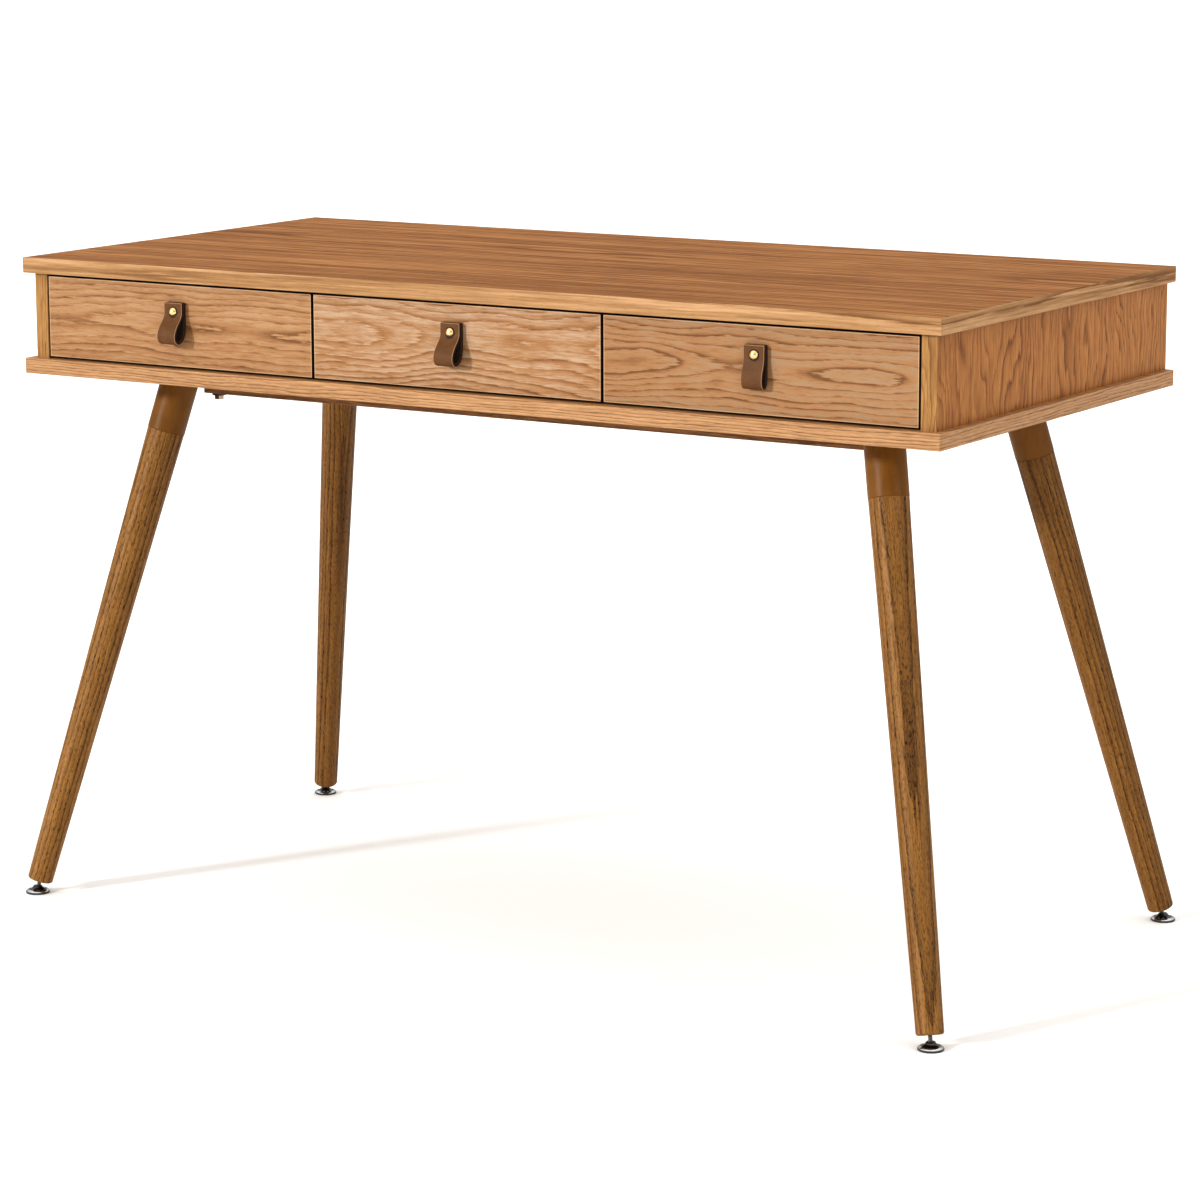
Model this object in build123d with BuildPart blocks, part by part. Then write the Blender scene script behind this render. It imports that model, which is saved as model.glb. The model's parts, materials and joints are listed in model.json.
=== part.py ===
from build123d import *
import math
import os

os.makedirs("parts", exist_ok=True)

# Writing desk with three drawers, in millimetres. +Z is up, +X is to the sitter's right and
# the drawers open towards -Y. The origin is on the floor, at the middle of the desk.

# Carcass
desk_width = 1200.0
desk_depth = 580.0
desk_height = 765.0
board = 18.0                    # thickness of every carcass board
clear_height = 100.0            # between the top slab and the bottom slab
end_inset = 10.0                # side panels stand this far in from the slabs' ends
front_setback = 10.0            # side panels and drawer fronts stand this far back
slab_round = 0.8
panel_round = 0.6

# Drawer fronts and boxes
reveal_side = 2.0               # gap between a drawer front and a side panel
reveal_between = 3.0            # gap between two drawer fronts
reveal_above = 3.2              # gap between a drawer front and the top slab
reveal_below = 2.4              # gap between a drawer front and the bottom slab
front_board = 18.0
box_board = 12.0
box_length = 452.0
box_side_height = 72.0
box_side_base = 10.0            # the box sides start this far above the bottom slab
bottom_board = 5.0
bottom_rise = 8.0               # the drawer bottom's height above the lower edge of the sides
groove_depth = 5.0
groove_play = 0.1
box_round = 1.5                 # rounding of the box sides' and back's upper edges
divider_setback = 2.0           # dividers stand this far behind the drawer fronts

# Ball-bearing slides, one pair for each drawer
slide_length = 450.0
slide_space = 12.7              # width that a slide takes between carcass and drawer side
slide_setback = 2.0             # slides start this far behind the dividers' front edges
slide_travel = 330.0
channel_height = 35.0
channel_depth = 9.5
channel_sheet = 1.2
runner_height = 25.2
runner_start = 3.5
cage_sheet = 0.7
cage_start = 1.9
cage_end = 8.8
cage_height = 29.6
cage_length = 120.0
ball_radius = 1.75
ball_rows = 6
ball_line = 6.5                 # distance of the balls from the carcass

# Leather pulls
strap_width = 25.0
strap_thickness = 3.8
stud_height = 713.6
stud_head_radius = 5.0
stud_head_rise = 2.8
stud_shank_radius = 2.0
stud_seat = 8.8                 # the stud's head rests this far in front of the drawer front
stud_back_head = 1.5            # thickness of the stud's flat head behind the drawer front
strap_corner = 2.0
# Middle line of the folded strap: distance from the drawer front, height. The right-hand
# pull is pressed flatter than the other two.
open_fold = [
    (2.1, 724.0), (2.1, 706.0), (2.4, 693.0), (5.6, 683.4), (13.4, 678.7), (19.4, 681.4),
    (20.4, 688.2), (16.2, 696.4), (10.0, 703.8), (6.8, 709.4), (6.4, 715.0), (6.4, 724.0),
]
flat_fold = [
    (2.1, 724.0), (2.1, 696.0), (2.3, 686.5), (3.9, 681.0), (7.6, 679.0), (10.9, 682.0),
    (11.7, 687.5), (10.8, 694.0), (8.4, 701.0), (6.6, 708.0), (6.4, 715.0), (6.4, 724.0),
]
strap_folds = {"left": open_fold, "middle": open_fold, "right": flat_fold}

# Legs, sleeves and feet. Distances along a leg start at the bottom slab's underside.
leg_top_x = 466.7
leg_top_y = 160.9
leg_slope = 0.2157              # run outwards along X and along Y for each unit of drop
sleeve_length = 77.0
sleeve_top_radius = 22.7
sleeve_mouth_radius = 22.3
sleeve_bore = 19.4
sleeve_cap = 20.0
leg_length = 642.0
leg_shoulder_radius = 22.0
leg_foot_radius = 15.0
leg_foot_round = 3.0
sleeve_mouth_round = 0.8
tenon_radius = 19.3
tenon_start = 21.0
hanger_radius = 5.0
hanger_start = 6.0
hanger_end = 80.0
insert_radius = 6.0
insert_length = 20.0
thread_pocket = 42.0            # depth of the hole that the foot's stud runs into
pocket_play = 0.6
foot_stud_radius = 2.4
foot_play = 0.08
foot_stud_reach = 30.0          # length of stud inside the leg
ball_end_radius = 4.2
ball_end_height = 5.5
glide_radius = 14.2
glide_neck_radius = 5.3
glide_neck_height = 8.7
glide_neck_round = 0.6
glide_base_round = 0.8
glide_rim_height = 2.2
glide_bevel = 1.6               # the rim's sloped band, inwards and upwards
glide_waist_radius = 8.8
glide_waist_height = 5.2
glide_mouth_base = 1.8          # the socket's mouth starts this far above the ball's centre
glide_mouth_low_radius = 3.4
glide_mouth_high_radius = 4.3
glide_mouth_height = 2.0
mount_screw_offset = 13.0
mount_screw_radius = 2.5
mount_screw_head = 5.0
mount_screw_length = 32.0

# Rails under the bottom slab
rail_half_length = 456.8
rail_height = 32.0
rail_thickness = 20.0
rail_middle_y = 125.0
rail_bolt_x = 441.9
rail_bolt_radius = 3.0
rail_bolt_head_radius = 5.9
rail_bolt_head = 5.0
rail_bolt_grip = 12.0           # length of the bolt inside the bottom slab
washer_radius = 8.5
washer_thickness = 2.5

# Wooden dowels between slabs and uprights
dowel_radius = 4.0
dowel_in_slab = 12.0
dowel_in_upright = 18.0
side_dowel_pitch = 220.0
divider_dowel_reach = 200.0
back_dowel_pitch = 320.0

# Clearances
hole_play = 0.1
end_play = 1.0                  # a bolt or screw stops this far before the end of its hole
contact_play = 0.1              # between two faces that touch
overcut = 1.0                   # a cut runs this far past the face it opens

# Levels and faces that follow from the dimensions above
top_underside = desk_height - board
bottom_upper = top_underside - clear_height
bottom_underside = bottom_upper - board
side_outer = desk_width / 2 - end_inset
side_inner = side_outer - board
front_face = -desk_depth / 2 + front_setback
front_back = front_face + front_board
rear_face = desk_depth / 2
back_inner = rear_face - board
front_width = (2 * side_inner - 2 * reveal_side - 2 * reveal_between) / 3
divider_middle = front_width / 2 + reveal_between / 2
divider_front = front_back + divider_setback
box_base = bottom_upper + box_side_base
box_rear = front_back + box_length
box_floor = box_base + bottom_rise
slide_middle = box_base + box_side_height / 2
slide_front = divider_front + slide_setback
foot_end = (bottom_underside - ball_end_height) * math.sqrt(1 + 2 * leg_slope**2)
leg_corners = {
    "front_left": (-1, -1),
    "front_right": (1, -1),
    "rear_left": (-1, 1),
    "rear_right": (1, 1),
}
drawer_bays = {
    "left": (-side_inner, -divider_middle - board / 2, -front_width - reveal_between),
    "middle": (-divider_middle + board / 2, divider_middle - board / 2, 0.0),
    "right": (divider_middle + board / 2, side_inner, front_width + reveal_between),
}


def save(name, solid):
    """Label one finished piece and write it as its own node."""
    solid.label = name
    export_step(solid, f"parts/{name}.step")


def leg_down(side_x, side_y):
    """Unit vector down a leg's axis."""
    return Vector(side_x * leg_slope, side_y * leg_slope, -1).normalized()


def leg_top(side_x, side_y):
    """Point where a leg's axis meets the bottom slab's underside."""
    return Vector(side_x * leg_top_x, side_y * leg_top_y, bottom_underside)


def along_leg(side_x, side_y):
    """Plane through a leg's axis: its X is the radius and its Y runs down the leg."""
    down = leg_down(side_x, side_y)
    radial = Vector(down.Y, -down.X, 0).normalized()
    return Plane(origin=leg_top(side_x, side_y), x_dir=radial, z_dir=radial.cross(down))


def leg_axis(side_x, side_y):
    return Axis(leg_top(side_x, side_y), leg_down(side_x, side_y))


def across_leg(side_x, side_y, distance):
    """Plane square to a leg's axis, facing down it, at a distance below the slab."""
    down = leg_down(side_x, side_y)
    return Plane(origin=leg_top(side_x, side_y) + down * distance, z_dir=down)


# Carcass: two slabs, two side panels, a back and two dividers

side_middle = side_outer - board / 2
back_middle = rear_face - board / 2
side_dowels = [(side * side_middle, step * side_dowel_pitch)
               for side in (-1, 1) for step in (-1, 0, 1)]
divider_dowels = [(side * divider_middle, end * divider_dowel_reach)
                  for side in (-1, 1) for end in (-1, 1)]
back_dowels = [((step - 1.5) * back_dowel_pitch, back_middle) for step in range(4)]
all_dowels = side_dowels + divider_dowels + back_dowels

with BuildPart() as desk_top:
    with BuildSketch(Plane.XY.offset(top_underside)):
        Rectangle(desk_width, desk_depth)
    extrude(amount=board)
    fillet(desk_top.edges(), slab_round)
    with BuildSketch(Plane.XY.offset(top_underside)):
        with Locations(*all_dowels):
            Circle(dowel_radius + hole_play)
    extrude(amount=dowel_in_slab, mode=Mode.SUBTRACT)
save("desk_top", desk_top.part)

# Two screws hold each sleeve. They stand beside the leg's axis, across its lean.
mount_screws = []
for side_x, side_y in leg_corners.values():
    for side in (-1, 1):
        along = side * mount_screw_offset / math.sqrt(2)
        mount_screws.append((side_x * leg_top_x + along, side_y * (leg_top_y - side_x * along)))
rail_bolts = [(x, y) for x in (-rail_bolt_x, rail_bolt_x) for y in (-rail_middle_y, rail_middle_y)]

with BuildPart() as bottom_panel:
    with BuildSketch(Plane.XY.offset(bottom_underside)):
        Rectangle(desk_width, desk_depth)
    extrude(amount=board)
    fillet(bottom_panel.edges(), slab_round)
    with BuildSketch(Plane.XY.offset(bottom_upper)):
        with Locations(*all_dowels):
            Circle(dowel_radius + hole_play)
    extrude(amount=-dowel_in_slab, mode=Mode.SUBTRACT)
    with BuildSketch(Plane.XY.offset(bottom_underside)):
        with Locations(*rail_bolts):
            Circle(rail_bolt_radius + hole_play)
    extrude(amount=rail_bolt_grip, mode=Mode.SUBTRACT)
    with Locations(*[(x, y, bottom_upper) for x, y in mount_screws]):
        CounterSinkHole(mount_screw_radius + hole_play, mount_screw_head + hole_play,
                        counter_sink_angle=90)
save("bottom_panel", bottom_panel.part)


def upright(low, high, dowels):
    """Vertical board between the slabs, from corner low to corner high, drilled for dowels."""
    with BuildPart() as panel:
        with BuildSketch(Plane.XY.offset(bottom_upper)):
            with Locations(((low[0] + high[0]) / 2, (low[1] + high[1]) / 2)):
                Rectangle(high[0] - low[0], high[1] - low[1])
        extrude(amount=clear_height)
        fillet(panel.edges().filter_by(Axis.Z), panel_round)
        for level, inward in ((bottom_upper, 1), (top_underside, -1)):
            with BuildSketch(Plane.XY.offset(level)):
                with Locations(*dowels):
                    Circle(dowel_radius + hole_play)
            extrude(amount=inward * dowel_in_upright, mode=Mode.SUBTRACT)
    return panel.part


for name, side in (("left", -1), ("right", 1)):
    low_x, high_x = sorted((side * side_inner, side * side_outer))
    here = [spot for spot in side_dowels if spot[0] * side > 0]
    save(f"side_panel_{name}", upright((low_x, front_face), (high_x, rear_face), here))
    here = [spot for spot in divider_dowels if spot[0] * side > 0]
    middle = side * divider_middle
    save(f"divider_{name}", upright((middle - board / 2, divider_front),
                                    (middle + board / 2, back_inner), here))
save("back_panel", upright((-side_inner, back_inner), (side_inner, rear_face), back_dowels))

with BuildPart() as panel_dowels:
    for level, below, above in ((bottom_upper, dowel_in_slab, dowel_in_upright),
                                (top_underside, dowel_in_upright, dowel_in_slab)):
        with BuildSketch(Plane.XY.offset(level - below)):
            with Locations(*all_dowels):
                Circle(dowel_radius)
        extrude(amount=below + above)
save("panel_dowels", panel_dowels.part)

# Rails under the bottom slab, with a bolt and a washer near each end

rail_base = bottom_underside - rail_height
for name, middle_y in (("front_rail", -rail_middle_y), ("rear_rail", rail_middle_y)):
    with BuildPart() as rail:
        with BuildSketch(Plane.XY.offset(rail_base)):
            with Locations((0, middle_y)):
                Rectangle(2 * rail_half_length, rail_thickness)
        extrude(amount=rail_height)
        fillet(rail.edges().filter_by(Axis.X), panel_round)
        with BuildSketch(Plane.XY.offset(rail_base)):
            with Locations((-rail_bolt_x, middle_y), (rail_bolt_x, middle_y)):
                Circle(rail_bolt_radius + hole_play)
        extrude(amount=rail_height, mode=Mode.SUBTRACT)
    save(name, rail.part)

washer_base = rail_base - washer_thickness
with BuildPart() as rail_bolt_set:
    with BuildSketch(Plane.XY.offset(washer_base)):
        with Locations(*rail_bolts):
            Circle(washer_radius)
            Circle(rail_bolt_radius + hole_play, mode=Mode.SUBTRACT)
    extrude(amount=washer_thickness)
    with BuildSketch(Plane.XY.offset(washer_base - rail_bolt_head)):
        with Locations(*rail_bolts):
            RegularPolygon(rail_bolt_head_radius, 6)
    extrude(amount=rail_bolt_head - hole_play)
    with BuildSketch(Plane.XY.offset(washer_base - rail_bolt_head)):
        with Locations(*rail_bolts):
            Circle(rail_bolt_radius)
    extrude(amount=bottom_underside + rail_bolt_grip - washer_base + rail_bolt_head - end_play)
save("rail_bolts", rail_bolt_set.part)

# Legs: a turned leg in a smooth sleeve that is screwed under the bottom slab

hanger_bolts = []
foot_inserts = []
for corner, (side_x, side_y) in leg_corners.items():
    section = along_leg(side_x, side_y)
    axis = leg_axis(side_x, side_y)

    with BuildPart() as sleeve:
        with BuildSketch(section):
            with BuildLine():
                Polyline(
                    (hanger_radius + hole_play, -board),
                    (sleeve_top_radius, -board),
                    (sleeve_mouth_radius, sleeve_length - sleeve_mouth_round),
                    (sleeve_mouth_radius - sleeve_mouth_round, sleeve_length),
                    (sleeve_bore, sleeve_length),
                    (sleeve_bore, sleeve_cap),
                    (hanger_radius + hole_play, sleeve_cap),
                    close=True,
                )
            make_face()
        revolve(axis=axis)
        split(bisect_by=Plane.XY.offset(bottom_underside), keep=Keep.BOTTOM)
        here = [(x, y) for x, y in mount_screws if x * side_x > 0 and y * side_y > 0]
        with BuildSketch(Plane.XY.offset(bottom_underside)):
            with Locations(*here):
                Circle(mount_screw_radius + hole_play)
        extrude(amount=-(mount_screw_length - board), mode=Mode.SUBTRACT)
    save(f"leg_sleeve_{corner}", sleeve.part)

    with BuildPart() as leg:
        with BuildSketch(section):
            with BuildLine():
                Polyline(
                    (hanger_radius + hole_play, tenon_start),
                    (tenon_radius, tenon_start),
                    (tenon_radius, sleeve_length + hole_play),
                    (leg_shoulder_radius, sleeve_length + hole_play),
                    (leg_foot_radius, leg_length - leg_foot_round),
                )
                ThreePointArc(
                    (leg_foot_radius, leg_length - leg_foot_round),
                    (leg_foot_radius - 0.3 * leg_foot_round, leg_length - 0.3 * leg_foot_round),
                    (leg_foot_radius - leg_foot_round, leg_length),
                )
                Polyline(
                    (leg_foot_radius - leg_foot_round, leg_length),
                    (insert_radius + hole_play, leg_length),
                    (insert_radius + hole_play, leg_length - insert_length),
                    (foot_stud_radius + pocket_play, leg_length - insert_length),
                    (foot_stud_radius + pocket_play, leg_length - thread_pocket),
                    (0, leg_length - thread_pocket),
                    (0, hanger_end + end_play),
                    (hanger_radius + hole_play, hanger_end + end_play),
                    (hanger_radius + hole_play, tenon_start),
                )
            make_face()
        revolve(axis=axis)
    save(f"leg_{corner}", leg.part)

    with BuildPart(across_leg(side_x, side_y, hanger_start)) as hanger_bolt:
        Cylinder(hanger_radius, hanger_end - hanger_start,
                 align=(Align.CENTER, Align.CENTER, Align.MIN))
    hanger_bolts.append(hanger_bolt.part)

    with BuildPart(across_leg(side_x, side_y, leg_length - insert_length)) as foot_insert:
        Cylinder(insert_radius, insert_length, align=(Align.CENTER, Align.CENTER, Align.MIN))
        Cylinder(foot_stud_radius + foot_play, insert_length, mode=Mode.SUBTRACT,
                 align=(Align.CENTER, Align.CENTER, Align.MIN))
    foot_inserts.append(foot_insert.part)

    stud_length = foot_end - leg_length + foot_stud_reach
    with BuildPart(across_leg(side_x, side_y, leg_length - foot_stud_reach)) as foot_stud:
        Cylinder(foot_stud_radius, stud_length, align=(Align.CENTER, Align.CENTER, Align.MIN))
        with Locations((0, 0, stud_length)):
            Sphere(ball_end_radius)
    save(f"foot_stud_{corner}", foot_stud.part)

    # The glide lies flat on the floor and swivels on the stud's ball end.
    spread = leg_slope * (bottom_underside - ball_end_height)
    foot_x = side_x * (leg_top_x + spread)
    foot_y = side_y * (leg_top_y + spread)
    with BuildPart() as glide:
        with BuildSketch(Plane(origin=(foot_x, foot_y, 0), x_dir=(1, 0, 0), z_dir=(0, -1, 0))):
            with BuildLine():
                Polyline((0, glide_neck_height), (0, 0), (glide_radius - glide_base_round, 0),
                         (glide_radius, glide_base_round), (glide_radius, glide_rim_height))
                Spline((glide_radius, glide_rim_height),
                       (glide_radius - glide_bevel, glide_rim_height + glide_bevel),
                       (glide_waist_radius, glide_waist_height),
                       (glide_neck_radius, glide_neck_height - glide_neck_round))
                Polyline((glide_neck_radius, glide_neck_height - glide_neck_round),
                         (glide_neck_radius - glide_neck_round, glide_neck_height),
                         (0, glide_neck_height))
            make_face()
        revolve(axis=Axis((foot_x, foot_y, 0), (0, 0, 1)))
        with Locations((foot_x, foot_y, ball_end_height)):
            Sphere(ball_end_radius + foot_play, mode=Mode.SUBTRACT)
        with Locations((foot_x, foot_y, ball_end_height + glide_mouth_base)):
            Cone(glide_mouth_low_radius, glide_mouth_high_radius, glide_mouth_height,
                 align=(Align.CENTER, Align.CENTER, Align.MIN), mode=Mode.SUBTRACT)
    save(f"foot_glide_{corner}", glide.part)

save("leg_hanger_bolts", Compound(children=hanger_bolts))
save("foot_inserts", Compound(children=foot_inserts))

with BuildPart() as sleeve_screws:
    with BuildSketch(Plane.XY.offset(bottom_upper)):
        with Locations(*mount_screws):
            Circle(mount_screw_radius)
    extrude(amount=-(mount_screw_length - end_play))
    with Locations(*[(x, y, bottom_upper) for x, y in mount_screws]):
        Cone(mount_screw_radius, mount_screw_head, mount_screw_head - mount_screw_radius,
             align=(Align.CENTER, Align.CENTER, Align.MAX))
save("leg_sleeve_screws", sleeve_screws.part)


# Slides: a channel on the carcass, a runner on the drawer, a ball cage between

def slide_section(wall, toward, start, end, height):
    """Centre and width of a slide strip that spans two distances from the carcass wall."""
    return (wall + toward * (start + end) / 2, slide_middle), (end - start, height)


def slide_channel(wall, toward):
    """C section with its web on the wall and its mouth towards the drawer."""
    spot, size = slide_section(wall, toward, 0, channel_depth, channel_height)
    hollow_spot, hollow_size = slide_section(wall, toward, channel_sheet, channel_depth + overcut,
                                             channel_height - 2 * channel_sheet)
    with BuildPart() as channel:
        with BuildSketch(Plane.XZ.offset(-slide_front)):
            with Locations(spot):
                Rectangle(*size)
            with Locations(hollow_spot):
                Rectangle(*hollow_size, mode=Mode.SUBTRACT)
        extrude(amount=-slide_length)
    return channel.part


def slide_runner(wall, toward):
    """C section with its web on the drawer side and its mouth in the channel."""
    spot, size = slide_section(wall, toward, runner_start, slide_space, runner_height)
    hollow_spot, hollow_size = slide_section(wall, toward, runner_start - overcut,
                                             slide_space - channel_sheet,
                                             runner_height - 2 * channel_sheet)
    with BuildPart() as runner:
        with BuildSketch(Plane.XZ.offset(-slide_front)):
            with Locations(spot):
                Rectangle(*size)
            with Locations(hollow_spot):
                Rectangle(*hollow_size, mode=Mode.SUBTRACT)
        extrude(amount=-slide_length)
    return runner.part


def ball_cage(wall, toward):
    """Thin strip with two rows of balls, placed so that it ends up centred when open."""
    spot, size = slide_section(wall, toward, cage_start, cage_end, cage_height)
    hollow_spot, hollow_size = slide_section(wall, toward, cage_start + cage_sheet, cage_end + overcut,
                                             cage_height - 2 * cage_sheet)
    cage_front = slide_front + slide_travel / 2
    row_height = (cage_height - cage_sheet) / 2
    pitch = cage_length / ball_rows
    with BuildPart() as cage:
        with BuildSketch(Plane.XZ.offset(-cage_front)):
            with Locations(spot):
                Rectangle(*size)
            with Locations(hollow_spot):
                Rectangle(*hollow_size, mode=Mode.SUBTRACT)
        extrude(amount=-cage_length)
        row = [(wall + toward * ball_line, cage_front + (step + 0.5) * pitch)
               for step in range(ball_rows)]
        with BuildSketch(Plane.XY.offset(slide_middle - cage_height)):
            with Locations(*row):
                Circle(ball_radius + hole_play)
        extrude(amount=2 * cage_height, mode=Mode.SUBTRACT)
        with Locations(*[(x, y, slide_middle + end * row_height)
                         for x, y in row for end in (-1, 1)]):
            Sphere(ball_radius)
    return cage.part


# Drawers

def drawer_box_side(outer, toward):
    """Side board of a drawer box, grooved for the bottom."""
    with BuildPart() as box_side:
        with BuildSketch(Plane.XY.offset(box_base)):
            with Locations((outer + toward * box_board / 2, (front_back + box_rear) / 2)):
                Rectangle(box_board, box_length)
        extrude(amount=box_side_height)
        with BuildSketch(Plane.XY.offset(box_floor - groove_play)):
            with Locations((outer + toward * (box_board - groove_depth / 2),
                            (front_back + box_rear) / 2)):
                Rectangle(groove_depth + 2 * groove_play, box_length)
        extrude(amount=bottom_board + 2 * groove_play, mode=Mode.SUBTRACT)
        upper = box_side.edges().filter_by(Axis.Y).group_by(Axis.Z)[-1]
        fillet(upper, box_round)
    return box_side.part


def strap_pull(middle, fold):
    """Leather strap folded into a drop-shaped loop, both ends under one stud."""
    with BuildPart() as strap:
        with BuildSketch(Plane.YZ.offset(middle - strap_width / 2)):
            with BuildLine():
                Spline(*[(front_face - out, height) for out, height in fold],
                       tangents=[(0, -1), (0, 1)])
            trace(line_width=strap_thickness)
        extrude(amount=strap_width)
        end_edges = strap.edges().group_by(Axis.Z)[-1]
        fillet(end_edges.sort_by(SortBy.LENGTH)[:4], strap_corner)
        with BuildSketch(Plane.XZ.offset(-front_face - overcut)):
            with Locations((middle, stud_height)):
                Circle(stud_shank_radius + hole_play)
        extrude(amount=stud_seat + 2 * overcut, mode=Mode.SUBTRACT)
    return strap.part


def pull_stud(middle):
    """Domed stud whose shank passes through strap and drawer front to a flat back head."""
    seat = front_face - stud_seat - contact_play
    back = front_back + contact_play
    dome = (stud_head_radius**2 + stud_head_rise**2) / (2 * stud_head_rise)
    with BuildPart() as stud:
        with BuildSketch(Plane.YZ.offset(middle)):
            with BuildLine():
                Polyline(
                    (seat - stud_head_rise, stud_height),
                    (back + stud_back_head, stud_height),
                    (back + stud_back_head, stud_height + stud_head_radius),
                    (back, stud_height + stud_head_radius),
                    (back, stud_height + stud_shank_radius),
                    (seat, stud_height + stud_shank_radius),
                    (seat, stud_height + stud_head_radius),
                )
                RadiusArc((seat, stud_height + stud_head_radius),
                          (seat - stud_head_rise, stud_height), -dome)
            make_face()
        revolve(axis=Axis((middle, 0, stud_height), (0, 1, 0)))
    return stud.part


for name, (bay_low, bay_high, middle) in drawer_bays.items():
    outer_low = bay_low + slide_space
    outer_high = bay_high - slide_space
    inner_low = outer_low + box_board
    inner_high = outer_high - box_board
    box_middle = (outer_low + outer_high) / 2

    with BuildPart() as front:
        with BuildSketch(Plane.XY.offset(bottom_upper + reveal_below)):
            with Locations((middle, (front_face + front_back) / 2)):
                Rectangle(front_width, front_board)
        extrude(amount=clear_height - reveal_below - reveal_above)
        fillet(front.edges(), panel_round)
        with BuildSketch(Plane.XY.offset(box_floor - groove_play)):
            with Locations((box_middle, front_back - groove_depth / 2)):
                Rectangle(inner_high - inner_low + 2 * groove_depth + 2 * groove_play,
                          groove_depth + 2 * groove_play)
        extrude(amount=bottom_board + 2 * groove_play, mode=Mode.SUBTRACT)
        with BuildSketch(Plane.XZ.offset(-front_back - overcut)):
            with Locations((middle, stud_height)):
                Circle(stud_shank_radius + hole_play)
        extrude(amount=front_board + 2 * overcut, mode=Mode.SUBTRACT)
    save(f"drawer_{name}_front", front.part)

    save(f"drawer_{name}_side_left", drawer_box_side(outer_low, 1))
    save(f"drawer_{name}_side_right", drawer_box_side(outer_high, -1))

    with BuildPart() as box_back:
        with BuildSketch(Plane.XY.offset(box_floor + bottom_board)):
            with Locations((box_middle, box_rear - box_board / 2)):
                Rectangle(inner_high - inner_low, box_board)
        extrude(amount=box_side_height - bottom_rise - bottom_board)
        fillet(box_back.edges().filter_by(Axis.X).group_by(Axis.Z)[-1], box_round)
    save(f"drawer_{name}_back", box_back.part)

    with BuildPart() as box_bottom:
        with BuildSketch(Plane.XY.offset(box_floor)):
            with Locations((box_middle, (front_back - groove_depth + box_rear) / 2)):
                Rectangle(inner_high - inner_low + 2 * groove_depth, box_length + groove_depth)
        extrude(amount=bottom_board)
    save(f"drawer_{name}_bottom", box_bottom.part)

    save(f"drawer_{name}_pull", strap_pull(middle, strap_folds[name]))
    save(f"drawer_{name}_stud", pull_stud(middle))

    for node, piece in (("slide_channels", slide_channel), ("slide_runners", slide_runner),
                        ("ball_cages", ball_cage)):
        pair = [piece(bay_low, 1), piece(bay_high, -1)]
        save(f"drawer_{name}_{node}", Compound(children=pair))
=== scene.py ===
import json
import math

import bpy
from mathutils import Matrix, Vector


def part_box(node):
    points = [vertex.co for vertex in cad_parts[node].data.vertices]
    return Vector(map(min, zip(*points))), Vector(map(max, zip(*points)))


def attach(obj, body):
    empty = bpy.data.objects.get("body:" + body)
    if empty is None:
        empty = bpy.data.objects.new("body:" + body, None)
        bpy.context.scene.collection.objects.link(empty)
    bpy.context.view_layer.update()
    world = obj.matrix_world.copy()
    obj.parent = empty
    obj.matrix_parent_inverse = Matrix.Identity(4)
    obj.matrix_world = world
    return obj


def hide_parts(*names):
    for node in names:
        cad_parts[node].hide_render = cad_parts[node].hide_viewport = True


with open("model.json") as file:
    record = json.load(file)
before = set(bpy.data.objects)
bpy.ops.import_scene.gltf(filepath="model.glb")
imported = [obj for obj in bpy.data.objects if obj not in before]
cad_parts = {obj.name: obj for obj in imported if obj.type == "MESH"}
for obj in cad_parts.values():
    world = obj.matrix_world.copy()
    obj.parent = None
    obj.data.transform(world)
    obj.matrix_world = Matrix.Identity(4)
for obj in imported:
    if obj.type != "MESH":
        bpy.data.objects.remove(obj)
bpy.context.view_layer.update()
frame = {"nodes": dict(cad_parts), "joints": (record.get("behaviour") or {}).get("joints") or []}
millimetre = 0.001
corners = ("front_left", "front_right", "rear_left", "rear_right")
bays = ("left", "middle", "right")
print("stage: frame loaded,", len(frame["nodes"]), "nodes")


cameraSetup = {
    "place": (2.3899, -3.8184, 1.23335),
    "yaw": 32.497,
    "pitch": 10.859,
    "roll": -0.265,
    "lens": 117.86,
    "shiftX": 0.0333,
    "clip": (0.05, 200.0),
}

studio = {
    "zenith": (1.52, 1.50, 1.46),
    "horizon": (0.27, 0.27, 0.27),
    "suns": {
        # direction it comes from, strength, softness in degrees
        "keyLight": ((-0.44, -0.86, 0.28), 2.3, 5.0),
        "fillLight": ((0.95, -0.05, 0.30), 0.55, 30.0),
    },
    "floorSize": 90.0,
    "floorTone": 0.90,
    "floorRoughness": 0.9,
    "floorGloss": 0.1,
    "exposure": 0.22,
    "gamma": 0.86,
}


def makeCamera(setup):
    yaw, pitch, roll = (math.radians(setup[key]) for key in ("yaw", "pitch", "roll"))
    forward = math.cos(pitch)
    ahead = Vector((-math.sin(yaw) * forward, math.cos(yaw) * forward, -math.sin(pitch)))
    level = Vector((math.cos(yaw), math.sin(yaw), 0.0))
    upright = level.cross(ahead)
    right = math.cos(roll) * level + math.sin(roll) * upright
    above = math.cos(roll) * upright - math.sin(roll) * level
    lensData = bpy.data.cameras.new("deskCamera")
    lensData.lens = setup["lens"]
    lensData.shift_x = setup["shiftX"]
    lensData.clip_start, lensData.clip_end = setup["clip"]
    camera = bpy.data.objects.new("deskCamera", lensData)
    bpy.context.scene.collection.objects.link(camera)
    turn = Matrix((right, above, -ahead)).transposed()
    camera.matrix_world = Matrix.Translation(setup["place"]) @ turn.to_4x4()
    bpy.context.scene.camera = camera


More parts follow.
